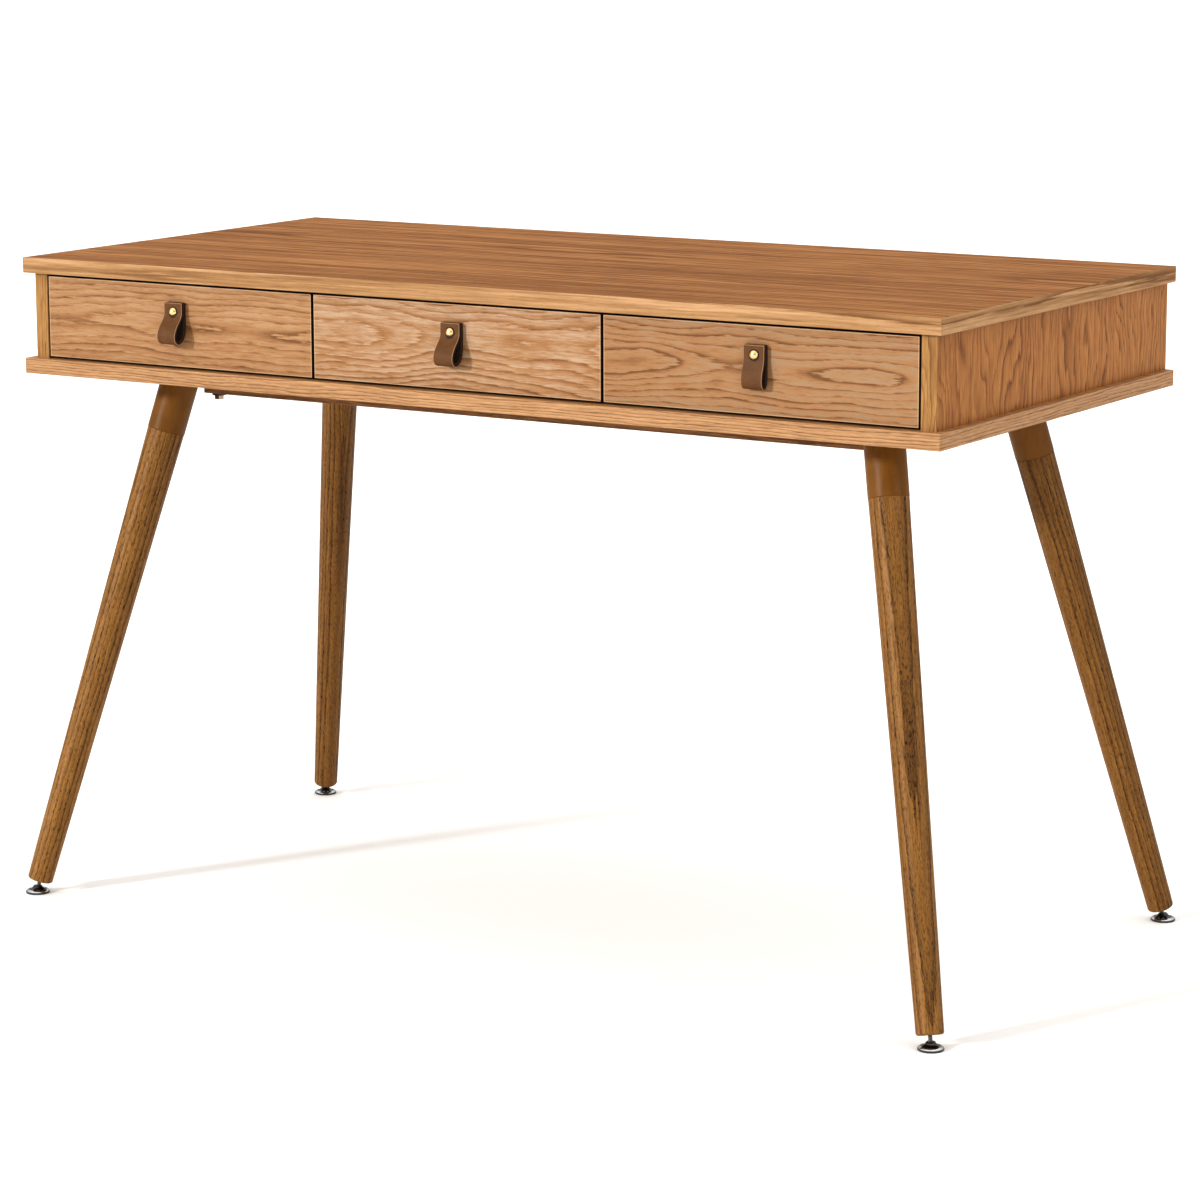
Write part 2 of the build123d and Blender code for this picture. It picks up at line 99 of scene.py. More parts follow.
def makeStudio(setup):
    world = bpy.data.worlds.new("softStudio")
    world.use_nodes = True
    # the studio is brighter overhead than at eye level
    nodes, links = world.node_tree.nodes, world.node_tree.links
    direction = nodes.new("ShaderNodeTexCoord")
    axes = nodes.new("ShaderNodeSeparateXYZ")
    fade = nodes.new("ShaderNodeValToRGB")
    fade.color_ramp.elements[0].color = (*setup["horizon"], 1.0)
    fade.color_ramp.elements[1].color = (*setup["zenith"], 1.0)
    links.new(direction.outputs["Generated"], axes.inputs["Vector"])
    links.new(axes.outputs["Z"], fade.inputs["Fac"])
    links.new(fade.outputs["Color"], nodes["Background"].inputs["Color"])
    bpy.context.scene.world = world
    look = bpy.context.scene.view_settings
    look.view_transform = "Standard"
    look.exposure, look.gamma = setup["exposure"], setup["gamma"]

    for name, (comesFrom, strength, softness) in setup["suns"].items():
        light = bpy.data.lights.new(name, "SUN")
        light.energy = strength
        light.angle = math.radians(softness)
        holder = bpy.data.objects.new(name, light)
        holder.rotation_euler = Vector(comesFrom).to_track_quat("Z", "Y").to_euler()
        bpy.context.scene.collection.objects.link(holder)

    half = setup["floorSize"] / 2
    outline = [(-half, -half, 0.0), (half, -half, 0.0), (half, half, 0.0), (-half, half, 0.0)]
    sheet = bpy.data.meshes.new("studioFloor")
    sheet.from_pydata(outline, [], [(0, 1, 2, 3)])
    paper = bpy.data.materials.new("palePaper")
    paper.use_nodes = True
    surface = paper.node_tree.nodes["Principled BSDF"]
    surface.inputs["Base Color"].default_value = (*[setup["floorTone"]] * 3, 1.0)
    surface.inputs["Roughness"].default_value = setup["floorRoughness"]
    surface.inputs["Specular IOR Level"].default_value = setup["floorGloss"]
    sheet.materials.append(paper)
    floor = bpy.data.objects.new("studioFloor", sheet)
    bpy.context.scene.collection.objects.link(floor)


makeCamera(cameraSetup)
makeStudio(studio)
print("stage: camera, lights and floor")


class Wire:
    # one socket of a finish; arithmetic on it adds Math nodes
    def __init__(self, finish, node, output=0):
        self.finish = finish
        self.node = node
        self.socket = node.outputs[output]

    def pick(self, output):
        return Wire(self.finish, self.node, output)

    def maths(self, operation, first, second):
        return self.finish.add("Math", {"operation": operation}, {0: first, 1: second})

    def __add__(self, other):
        return self.maths("ADD", self, other)

    def __radd__(self, other):
        return self.maths("ADD", other, self)

    def __sub__(self, other):
        return self.maths("SUBTRACT", self, other)

    def __rsub__(self, other):
        return self.maths("SUBTRACT", other, self)

    def __mul__(self, other):
        return self.maths("MULTIPLY", self, other)

    def __rmul__(self, other):
        return self.maths("MULTIPLY", other, self)

    def __truediv__(self, other):
        return self.maths("DIVIDE", self, other)

    def __rtruediv__(self, other):
        return self.maths("DIVIDE", other, self)


class Finish:
    # a material with its Principled shader and the nodes that feed it
    def __init__(self, name, **constants):
        self.material = bpy.data.materials.new(name)
        self.material.use_nodes = True
        self.tree = self.material.node_tree
        self.surface = self.tree.nodes["Principled BSDF"]
        for socket, value in constants.items():
            self.surface.inputs[socket.replace("_", " ")].default_value = value

    def add(self, kind, settings=None, values=None, output=0):
        node = self.tree.nodes.new("ShaderNode" + kind)
        for key, value in (settings or {}).items():
            if key == "stops":
                self.setStops(node.color_ramp, value)
            else:
                setattr(node, key, value)
        for key, value in (values or {}).items():
            self.feed(node.inputs[key], value)
        return Wire(self, node, output)

    def setStops(self, ramp, stops):
        ramp.elements.remove(ramp.elements[1])
        ramp.elements[0].position, ramp.elements[0].color = stops[0][0], (*stops[0][1], 1.0)
        for place, colour in stops[1:]:
            ramp.elements.new(place).color = (*colour, 1.0)

    def feed(self, socket, value):
        if isinstance(value, Wire):
            self.tree.links.new(value.socket, socket)
        elif hasattr(value, "__len__") and len(value) == 3 and socket.type == "RGBA":
            socket.default_value = (*value, 1.0)
        else:
            socket.default_value = value

    def paint(self, **sockets):
        for socket, value in sockets.items():
            self.feed(self.surface.inputs[socket.replace("_", " ")], value)

    def place(self):
        return self.add("TexCoord", output="Object")

    def attribute(self, name):
        return self.add("Attribute", {"attribute_name": name}, output="Fac")

    def split(self, vector):
        axes = self.add("SeparateXYZ", values={"Vector": vector})
        return axes, axes.pick("Y"), axes.pick("Z")

    def stretch(self, vector, scale):
        return self.add("VectorMath", {"operation": "MULTIPLY"}, {0: vector, 1: scale})

    def shift(self, vector, offset):
        return self.add("VectorMath", {"operation": "ADD"}, {0: vector, 1: offset})

    def noise(self, vector, scale=1.0, detail=2.0, roughness=0.5, distortion=0.0):
        values = {"Vector": vector, "Scale": scale, "Detail": detail,
                  "Roughness": roughness, "Distortion": distortion}
        return self.add("TexNoise", values=values)

    def noiseAlong(self, value, scale=1.0, detail=1.0):
        values = {"W": value, "Scale": scale, "Detail": detail}
        return self.add("TexNoise", {"noise_dimensions": "1D"}, values)

    def rise(self, value, low, high):
        values = {"Value": value, "From Min": low, "From Max": high}
        return self.add("MapRange", {"interpolation_type": "SMOOTHSTEP"}, values)

    def size(self, value):
        return self.add("Math", {"operation": "ABSOLUTE"}, {0: value})

    def fraction(self, value):
        return self.add("Math", {"operation": "FRACT"}, {0: value})

    def root(self, value):
        return self.add("Math", {"operation": "SQRT"}, {0: value})

    def larger(self, first, second):
        return self.add("Math", {"operation": "MAXIMUM"}, {0: first, 1: second})

    def smaller(self, first, second):
        return self.add("Math", {"operation": "MINIMUM"}, {0: first, 1: second})

    def past(self, value, limit):
        return self.add("Math", {"operation": "GREATER_THAN"}, {0: value, 1: limit})

    def mixColour(self, factor, first, second, way="MIX"):
        settings = {"data_type": "RGBA", "blend_type": way}
        return self.add("Mix", settings, {0: factor, 6: first, 7: second}, output=2)

    def mixVector(self, factor, first, second):
        return self.add("Mix", {"data_type": "VECTOR"}, {0: factor, 4: first, 5: second}, output=1)

    def ramp(self, factor, stops):
        return self.add("ValToRGB", {"stops": stops}, {"Fac": factor}, output="Color")

    def bump(self, height, depth, strength=1.0):
        values = {"Height": height, "Distance": depth, "Strength": strength}
        self.paint(Normal=self.add("Bump", values=values))


oak = {
    "pale": (0.46, 0.252, 0.112),
    "middle": (0.325, 0.164, 0.068),
    "dark": (0.160, 0.070, 0.025),
    "pore": (0.100, 0.036, 0.013),
    # colour of the painted shade on the drawer fronts' edges in the gaps
    "edgeShade": (0.016, 0.006, 0.003),
    "ringGap": 0.0068,
    # colour of the painted highlight line round the drawer fronts
    "edgeHighlight": (0.68, 0.50, 0.32),
    "bandTint": (1.0, 1.0, 1.0),
    "bandStretch": (1.0, 1.9, 1.0),
    "roughness": 0.46,
    "relief": 0.10 * millimetre,
    # how dark one year's ring is across its width, as (share of the width, darkness)
    "ringShading": ((0.0, 0.75), (0.06, 1.0), (0.17, 0.52), (0.36, 0.20),
                    (0.62, 0.06), (0.90, 0.0), (1.0, 0.65)),
}


def oakFigure(finish, grain, look):
    # grain: x runs along the fibres, y across them on the face, z into the board
    along, across, inward = finish.split(grain)
    fibre = finish.noise(finish.stretch(grain, look["fibreScale"]), detail=3.0, roughness=0.62)
    streak = finish.noise(finish.stretch(grain, look["streakScale"]), detail=2.0, roughness=0.6)
    drift = finish.noise(finish.stretch(grain, look["driftScale"]), detail=2.0)
    elsewhere = finish.shift(grain, (3.1, 7.7, 1.3))
    wander = finish.noise(finish.stretch(elsewhere, look["wanderScale"]), detail=3.0)
    depth = look["heart"] + (drift - 0.5) * look["drift"] + inward
    aside = across - look["heartAside"] + (wander - 0.5) * look["wander"]
    radius = finish.root(depth * depth + aside * aside)
    serration = (fibre - 0.5) * look["ragged"] + (streak - 0.5) * look["ragged"]
    rings = radius / look["ringGap"] + serration
    ringLine = finish.ramp(finish.fraction(rings), [
        (share, (darkness,) * 3) for share, darkness in look["ringShading"]])
    ringStrength = finish.rise(finish.noiseAlong(rings, 0.83), 0.25, 0.75)
    flecks = finish.noise(finish.stretch(grain, look["poreScale"]), detail=2.5)
    cloud = finish.noise(finish.stretch(grain, look["cloudScale"]), detail=2.0)

    line = ringLine * (0.40 + 0.60 * ringStrength)
    tone = (look["ringDark"] * line + look["fibreDark"] * (fibre - 0.5)
            + look["streakDark"] * (streak - 0.5) + look["cloudDark"] * (cloud - 0.5) + look["base"])
    wood = finish.ramp(tone, [(0.0, look["pale"]), (0.45, look["middle"]), (1.0, look["dark"])])
    poreMask = finish.rise(flecks, look["poreFrom"], look["poreFrom"] + 0.12) * (0.35 + 0.65 * line)
    poreMask = poreMask * look["poreDark"]
    return finish.mixColour(poreMask, wood, look["pore"]), tone, poreMask


boardLook = {
    **oak,
    "driftScale": (2.3, 5.0, 5.0), "drift": 0.085,
    "wanderScale": (5.0, 12.0, 12.0), "wander": 0.030,
    "heart": 0.013, "heartAside": 0.0, "ragged": 0.55,
    "ringDark": 0.86, "fibreScale": (48.0, 420.0, 420.0), "fibreDark": 1.25,
    "streakScale": (12.0, 150.0, 150.0), "streakDark": 0.85,
    "cloudScale": (1.6, 9.0, 9.0), "cloudDark": 0.45, "base": 0.20,
    "poreScale": (70.0, 1000.0, 1000.0), "poreFrom": 0.58, "poreDark": 0.80,
    "offset": (0.0, 0.0, 0.0), "gloss": 0.16, "edges": False,
}

# edge veneer, and the dark line of its glue joint
bandThickness = 0.9 * millimetre
jointLine = (0.05 * millimetre, 0.30 * millimetre)
jointDark = 0.55

# painted light on the drawer fronts' edges, by distance in from the edge and behind the face
frontEdgeShading = {
    "rolled": (0.30 * millimetre, 0.50 * millimetre),
    "highlightFrom": (0.50 * millimetre, 0.70 * millimetre),
    "highlightTo": (1.0 * millimetre, 1.7 * millimetre),
    "highlightStrength": 0.45,
    "shadeFrom": (0.5 * millimetre, 1.2 * millimetre),
    "shadeTo": (6.0 * millimetre, 10.0 * millimetre),
    "shadeStrength": 0.92,
}


def paintFrontEdges(finish, colour, axes, half, look):
    # a painted highlight line round the face, and painted shade on the arris and on the edges just
    # behind it
    nearest = finish.smaller(half.x - finish.size(axes["x"]), half.z - finish.size(axes["z"]))
    behindFace = axes["y"] + half.y
    highlightMask = (finish.rise(nearest, *frontEdgeShading["highlightFrom"])
            * (1 - finish.rise(nearest, *frontEdgeShading["highlightTo"])))
    colour = finish.mixColour(highlightMask * frontEdgeShading["highlightStrength"], colour, look["edgeHighlight"])
    # painted shade on the rolled arris and on the edges behind the face, where the gaps are in shade
    arrisShade = 1 - finish.rise(nearest, *frontEdgeShading["rolled"])
    nearFace = 1 - finish.rise(behindFace, *frontEdgeShading["shadeTo"])
    shadeMask = finish.larger(arrisShade, finish.rise(behindFace, *frontEdgeShading["shadeFrom"])) * nearFace
    return finish.mixColour(shadeMask * frontEdgeShading["shadeStrength"], colour, look["edgeShade"])


def boardFinish(name, node, faceGrain, look, bands=()):
    # faceGrain names the axes that run along, across and into the face; each band is
    # (axis, side, grain axes, offset along and across): edge veneer on that side of the board
    finish = Finish(name, Specular_IOR_Level=look["gloss"])
    low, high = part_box(node)
    middle, half = (low + high) / 2, (high - low) / 2
    place = finish.add("Mapping", {"vector_type": "TEXTURE"},
                       {"Vector": finish.place(), "Location": middle})
    axes = dict(zip("xyz", finish.split(place)))

    def turned(order, offset):
        parts = {"XYZ"[i]: axes[axis] for i, axis in enumerate(order)}
        return finish.shift(finish.add("CombineXYZ", values=parts), offset)

    grain = turned(faceGrain, look["offset"])
    joint = banded = None
    for axis, side, order, offset in bands:
        face = half["xyz".index(axis)]
        distance = axes[axis] * side
        mask = finish.past(distance, face - bandThickness)
        lengthwise = finish.stretch(turned(order, (*offset, -face * side)), look["bandStretch"])
        grain = finish.mixVector(mask, grain, lengthwise)
        gap = finish.size(distance - (face - bandThickness))
        line = 1 - finish.rise(gap, *jointLine)
        joint = line if joint is None else finish.larger(joint, line)
        banded = mask if banded is None else finish.larger(banded, mask)
    colour, tone, pores = oakFigure(finish, grain, look)
    if joint is not None:
        tinted = finish.mixColour(1.0, colour, look["bandTint"], "MULTIPLY")
        colour = finish.mixColour(banded, colour, tinted)
        colour = finish.mixColour(joint * jointDark, colour, look["pore"])
    # painted highlight and painted shade round the drawer fronts' edges
    if look["edges"]:
        colour = paintFrontEdges(finish, colour, axes, half, look)
    finish.paint(Base_Color=colour, Roughness=look["roughness"] + 0.10 * tone + 0.12 * pores)
    finish.bump(0.0 - pores - 0.35 * tone, look["relief"])
    return finish.material


def dress(node, material):
    for slot in frame["nodes"][node].material_slots:
        slot.material = material


# the slabs: grain along their length, with edge strips all round
def slabBands(seed):
    return (
        ("y", -1, "xzy", (0.31 + seed, 0.050)),
        ("y", 1, "xzy", (2.20 + seed, 0.056)),
        ("x", -1, "yzx", (1.17 + seed, 0.048)),
        ("x", 1, "yzx", (3.45 + seed, 0.053)),
    )


# the top's oak colours are a darker, more saturated copy of the fronts' veneer, as painted shade; its
# edge strips are tinted back lighter
topLook = {**boardLook, "driftScale": (1.3, 6.0, 6.0), "drift": 0.06,
           "wanderScale": (3.0, 11.0, 11.0), "wander": 0.05,
           "heart": 0.05, "heartAside": 0.09, "ringDark": 0.80, "ringGap": 0.0110,
           "fibreScale": (14.0, 220.0, 220.0), "streakScale": (2.6, 75.0, 75.0),
           "fibreDark": 1.5, "streakDark": 1.7, "base": 0.33, "gloss": 0.05,
           "bandTint": (1.22, 1.65, 2.90),
           "pale": (0.41, 0.185, 0.056), "middle": (0.285, 0.118, 0.030),
           "dark": (0.150, 0.052, 0.012)}
dress("desk_top", boardFinish("topVeneer", "desk_top", "xyz", topLook, slabBands(0.0)))
lowerLook = {**boardLook, "offset": (0.7, 0.3, 0.0), "bandTint": (1.04, 1.10, 1.20)}
dress("bottom_panel",
      boardFinish("lowerSlabVeneer", "bottom_panel", "xyz", lowerLook, slabBands(0.57)))

# uprights stand with their grain vertical
# the side panels' oak colours are a darker, more saturated copy of the fronts' veneer, as painted
# shade; their front edge strips are tinted back lighter
sideLook = {**boardLook, "heart": 0.016, "drift": 0.05, "driftScale": (5.0, 9.0, 9.0),
            "wanderScale": (3.0, 7.0, 7.0), "wander": 0.24, "base": 0.24, "ringGap": 0.0100,
            "ringDark": 0.80, "fibreDark": 1.5, "streakDark": 0.7, "bandTint": (0.98, 1.26, 1.70),
            "fibreScale": (40.0, 420.0, 420.0), "streakScale": (6.0, 150.0, 150.0),
            "pale": (0.42, 0.180, 0.044), "middle": (0.30, 0.118, 0.027),
            "dark": (0.16, 0.052, 0.012)}
for number, side in enumerate(("left", "right")):
    look = {**sideLook, "offset": (0.43 * number, 0.2 * number, 0.0)}
    frontBand = (("y", -1, "zxy", (0.9 + number, 0.035)),)
    for part in ("side_panel_", "divider_"):
        finishName = part.split("_")[0] + "Veneer" + side.title()
        dress(part + side, boardFinish(finishName, part + side, "zyx", look, frontBand))
backLook = {**boardLook, "offset": (2.3, 0.0, 0.0), "wander": 0.03}
dress("back_panel", boardFinish("backVeneer", "back_panel", "xzy", backLook))

# the fronts' tones differ partly as veneer does and partly as painted shade: the right front is given
# the darkest tone, where the light falls off
frontLooks = {
    "left": {"offset": (0.10, 0.004, 0.009), "heartAside": -0.004, "pale": (0.39, 0.236, 0.122),
             "heart": 0.020, "drift": 0.11, "driftScale": (1.9, 4.0, 4.0), "streakDark": 1.1},
    "middle": {"offset": (0.62, -0.003, 0.009), "heartAside": 0.004, "pale": (0.43, 0.295, 0.190),
               "heart": 0.018, "drift": 0.10, "ringDark": 0.74},
    "right": {"offset": (1.27, 0.0, 0.009), "heartAside": 0.0, "pale": (0.32, 0.200, 0.110),
              "ringDark": 1.10, "fibreDark": 1.5, "streakDark": 1.2, "cloudDark": 0.8,
              "heart": 0.016, "drift": 0.10},
}
for bay in bays:
    node = "drawer_" + bay + "_front"
    # the fronts carry the painted edge highlight and the painted edge shade
    look = {**boardLook, **frontLooks[bay], "edges": True}
    dress(node, boardFinish("frontVeneer" + bay.title(), node, "xzy", look))
for rail in ("front_rail", "rear_rail"):
    look = {**boardLook, "base": 0.62, "offset": (0.3, 0.1, 0.05)}
    dress(rail, boardFinish(rail.replace("_r", "R") + "Oak", rail, "xzy", look))


legLook = {
    **boardLook,
    "pale": (0.305, 0.148, 0.036), "middle": (0.205, 0.093, 0.019), "dark": (0.105, 0.043, 0.008),
    "pore": (0.022, 0.009, 0.002),
    "driftScale": (1.5, 5.0, 5.0), "drift": 0.020, "wanderScale": (3.0, 20.0, 20.0), "wander": 0.012,
    "heart": 0.055, "heartAside": 0.02, "ringGap": 0.0056, "ragged": 0.6,
    "fibreScale": (24.0, 420.0, 420.0), "streakScale": (6.0, 150.0, 150.0),
    "poreScale": (190.0, 900.0, 900.0), "poreFrom": 0.51, "poreDark": 1.20,
    "roughness": 0.42, "base": 0.24, "relief": 0.14 * millimetre,
    "streakDark": 0.55, "cloudDark": 0.60,
    # how much darker the rear legs are painted, as painted shade
    "rearLegShade": 0.24,
}


def legAxis(corner):
    # the middle of the leg, and the middle of the glide it points to
    low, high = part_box("leg_" + corner)
    glideLow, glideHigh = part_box("foot_glide_" + corner)
    return (low + high) / 2, (glideLow + glideHigh) / 2


def legFinish(corner, number):
    finish = Finish("turnedOak" + str(number), Specular_IOR_Level=legLook["gloss"])
    middle, foot = legAxis(corner)
    down = (foot - middle).normalized()
    turn = down.to_track_quat("X", "Z").to_euler()
    place = finish.add("Mapping", {"vector_type": "TEXTURE"},
                       {"Vector": finish.place(), "Location": middle, "Rotation": turn})
    look = {**legLook, "heartAside": 0.02 - 0.013 * number}
    # painted shade: the rear legs get a darker copy of the same oak
    if corner.startswith("rear"):
        look["base"] += legLook["rearLegShade"]
    grain = finish.shift(place, (0.9 * number, 0.004 * number, 0.0))
    colour, tone, pores = oakFigure(finish, grain, look)
    finish.paint(Base_Color=colour, Roughness=look["roughness"] + 0.12 * tone + 0.15 * pores)
    finish.bump(0.0 - pores - 0.3 * tone, look["relief"])
    return finish.material


for number, corner in enumerate(corners):
    dress("leg_" + corner, legFinish(corner, number))
print("stage: oak finishes")


sleeve = {
    "brown": (0.150, 0.060, 0.006),
    "lighter": (0.180, 0.074, 0.009),
    "roughness": 0.43,
    "gloss": 0.16,
}


def sleeveFinish():
    finish = Finish("satinSleeve", Specular_IOR_Level=sleeve["gloss"])
    place = finish.place()
    cloud = finish.noise(place, 38.0, 3.0, 0.55)
    grit = finish.noise(place, 2600.0, 2.0, 0.6)
    brushed = finish.noise(finish.stretch(place, (190.0, 190.0, 9.0)), detail=2.0)
    tone = 0.55 * cloud + 0.45 * brushed
    colour = finish.mixColour(finish.rise(tone, 0.35, 0.65), sleeve["brown"], sleeve["lighter"])
    finish.paint(Base_Color=colour,
                 Roughness=sleeve["roughness"] + 0.10 * (cloud - 0.5) + 0.06 * (grit - 0.5))
    finish.bump(grit * 0.5 + brushed, 0.02 * millimetre)
    return finish.material


plywood = {
    "pale": (0.62, 0.45, 0.27),
    "darker": (0.52, 0.355, 0.20),
    "line": (0.36, 0.22, 0.115),
    "lineStrength": 0.22,
    "veneer": 1.35 * millimetre,
    "roughness": 0.5,
}


def plyFinish(name, thicknessAxis, grainAxis):
    # thin veneers show as stripes on the board's edges, so the stripes run through its thickness
    finish = Finish(name, Roughness=plywood["roughness"])
    place = finish.place()
    axes = dict(zip("xyz", finish.split(place)))
    stretchFor = {axis: 3.0 if axis == grainAxis else 260.0 for axis in "xyz"}
    fibre = finish.noise(finish.stretch(place, tuple(stretchFor.values())), detail=3.0, roughness=0.6)
    cloud = finish.noise(place, 7.0, 2.0)
    layer = finish.fraction(axes[thicknessAxis] / (2 * plywood["veneer"]))
    stripe = finish.rise(layer, 0.46, 0.54)
    tone = 0.55 * fibre + 0.45 * cloud
    wood = finish.mixColour(finish.rise(tone, 0.3, 0.7), plywood["pale"], plywood["darker"])
    finish.paint(Base_Color=finish.mixColour(stripe * plywood["lineStrength"], wood, plywood["line"]))
    finish.bump(fibre, 0.05 * millimetre)
    return finish.material


# colour, roughness, strength of the mottled spangle
steels = {
    "zincSteel": ((0.62, 0.63, 0.64), 0.34, 0.5),
    "studSteel": ((0.26, 0.25, 0.25), 0.25, 0.2),
    "bronzedSteel": ((0.50, 0.42, 0.32), 0.22, 0.3),
    "darkWasher": ((0.060, 0.055, 0.050), 0.45, 0.4),
}


def steelFinish(name):
    colour, roughness, spangle = steels[name]
    finish = Finish(name, Metallic=1.0)
    place = finish.place()
    flakes = finish.add("TexVoronoi", values={"Vector": place, "Scale": 420.0}, output="Color")
    rolled = finish.noise(finish.stretch(place, (500.0, 12.0, 500.0)), detail=2.0)
    wear = finish.noise(place, 60.0, 3.0)
    shade = finish.rise(flakes, 0.0, 1.0) * spangle + rolled * 0.25 + wear * 0.25
    dark = tuple(0.72 * channel for channel in colour)
    finish.paint(Base_Color=finish.mixColour(shade, dark, colour),
                 Roughness=roughness + 0.12 * (wear - 0.5))
    finish.bump(rolled + wear, 0.02 * millimetre)
    return finish.material


brass = {"bright": (0.90, 0.68, 0.33), "tarnished": (0.55, 0.34, 0.13), "roughness": 0.20}


def brassFinish():
    finish = Finish("polishedBrass", Metallic=1.0)
    place = finish.place()
    tarnish = finish.rise(finish.noise(place, 420.0, 4.0, 0.6), 0.45, 0.75)
    scratches = finish.noise(finish.stretch(place, (700.0, 2600.0, 5200.0)), detail=2.0)
    colour = finish.mixColour(tarnish * 0.6, brass["bright"], brass["tarnished"])
    finish.paint(Base_Color=colour, Roughness=brass["roughness"] + 0.14 * tarnish + 0.06 * scratches)
    finish.bump(scratches, 0.01 * millimetre)
    return finish.material


glide = {
    "baseHeight": 2.2 * millimetre,
    "rimHeight": 2.9 * millimetre,
    "neckHeight": 4.6 * millimetre,
    "lip": 0.1 * millimetre,
    # bright and darkReflection are painted reflections on the chrome: a light band above the rim,
    # dark at the rim and neck
    "bright": (0.62, 0.63, 0.65),
    "darkReflection": (0.070, 0.070, 0.075),
    "plastic": (0.016, 0.016, 0.017),
}


def chromeFinish(name):
    # a black plastic base under a chromed dish whose colour carries painted reflections, dark towards
    # its rim and neck
    finish = Finish(name)
    place = finish.place()
    height = finish.split(place)[2]
    lip = glide["lip"]
    base = 1 - finish.rise(height, glide["baseHeight"] - lip, glide["baseHeight"] + lip)
    haze = finish.noise(place, 350.0, 3.0)
    grit = finish.noise(place, 3000.0, 2.0)
    aboveRim = finish.rise(height, glide["baseHeight"], glide["rimHeight"])
    belowNeck = 1 - finish.rise(height, glide["neckHeight"] - 5 * lip, glide["neckHeight"] + 3 * lip)
    # painted reflections: bright between the rim and the neck, dark below and above
    reflectionMask = aboveRim * belowNeck * (0.85 + 0.3 * (haze - 0.5))
    metal = finish.mixColour(reflectionMask, glide["darkReflection"], glide["bright"])
    finish.paint(Base_Color=finish.mixColour(base, metal, glide["plastic"]), Metallic=1 - base,
                 Roughness=0.09 + 0.06 * haze + base * 0.38)
    finish.bump(grit * base + haze * 0.2, 0.02 * millimetre)
    return finish.material


leather = {
    "face": (0.112, 0.042, 0.007),
    "faceLight": (0.140, 0.055, 0.011),
    # pale line on the rounded edges: partly the bevelled edge's own colour, partly a painted
    # highlight
    "edgeToneAndHighlight": (0.46, 0.27, 0.145),
    # near black: used for the painted shade inside the loop, the painted shadow round the stud, the
    # darker cut sides and the darker grain hollows
    "fleshSideAndShade": (0.018, 0.007, 0.003),
    # how far the painted shadow round the stud reaches
    "pressed": (6.2 * millimetre, 6.8 * millimetre),
    "roughness": 0.52,
    "pebbles": 1150.0,
    "gloss": 0.25,
}


def leatherFinish():
    finish = Finish("brownLeather", Specular_IOR_Level=leather["gloss"])
    place = finish.place()
    edge = finish.attribute("edge")
    inside = finish.attribute("inside")
    aside, over = finish.attribute("asideStud"), finish.attribute("overStud")
    reach = finish.root(aside * aside + over * over)
    # painted shadow of the stud head: a dark disc round the stud, set off centre
    press = 1 - finish.rise(reach, *leather["pressed"])
    cloud = finish.noise(place, 90.0, 3.0, 0.6)
    pebbles = finish.add("TexVoronoi", {"feature": "DISTANCE_TO_EDGE"},
                         {"Vector": place, "Scale": leather["pebbles"]})
    crease = finish.noise(finish.stretch(place, (260.0, 900.0, 900.0)), detail=4.0, roughness=0.62)
    grain = finish.rise(pebbles, 0.0, 0.16)
    colour = finish.mixColour(finish.rise(cloud, 0.3, 0.72), leather["face"], leather["faceLight"])
    # darker in the pebble grain's hollows
    colour = finish.mixColour((1 - grain) * 0.30, colour, leather["fleshSideAndShade"])
    # a pale line along the rounded edges, partly edge colour and partly painted highlight
    bevel = finish.rise(edge, 0.10, 0.55) * (1 - finish.rise(edge, 0.80, 1.0))
    colour = finish.mixColour(bevel * 0.8, colour, leather["edgeToneAndHighlight"])
    # darker on the cut sides
    colour = finish.mixColour(finish.rise(edge, 0.85, 1.0) * 0.7, colour, leather["fleshSideAndShade"])
    # painted shade: the loop's inner faces are near black
    colour = finish.mixColour(inside * 0.9, colour, leather["fleshSideAndShade"])
    # the painted shadow round the stud
    colour = finish.mixColour(press * 0.95, colour, leather["fleshSideAndShade"])
    finish.paint(Base_Color=colour,
                 Roughness=leather["roughness"] + 0.18 * (cloud - 0.5) + 0.2 * inside)
    finish.bump(grain * 0.7 + crease * 0.8, 0.10 * millimetre)
    return finish.material


satinSleeve = sleeveFinish()
zincSteel, studSteel, bronzedSteel, darkWasher = (steelFinish(name) for name in steels)
polishedBrass = brassFinish()
chromedDish = chromeFinish("chromedDish")
brownLeather = leatherFinish()
plyAlong = plyFinish("boxSidePly", "x", "y")
plyAcross = plyFinish("boxBackPly", "y", "x")
plyFlat = plyFinish("boxBottomPly", "z", "x")
dowelBeech = plyFinish("dowelBeech", "x", "z")

for corner in corners:
    dress("leg_sleeve_" + corner, satinSleeve)
    dress("foot_glide_" + corner, chromedDish)
for bay in bays:
    drawer = "drawer_" + bay + "_"
    for side in ("side_left", "side_right"):
        dress(drawer + side, plyAlong)
    dress(drawer + "back", plyAcross)
    dress(drawer + "bottom", plyFlat)
    for part in ("slide_channels", "slide_runners", "ball_cages"):
        dress(drawer + part, zincSteel)
    dress(drawer + "stud", polishedBrass)
for node in ("leg_hanger_bolts", "leg_sleeve_screws", "foot_inserts"):
    dress(node, zincSteel)
dress("panel_dowels", dowelBeech)
print("stage: sleeves, boxes and metal")


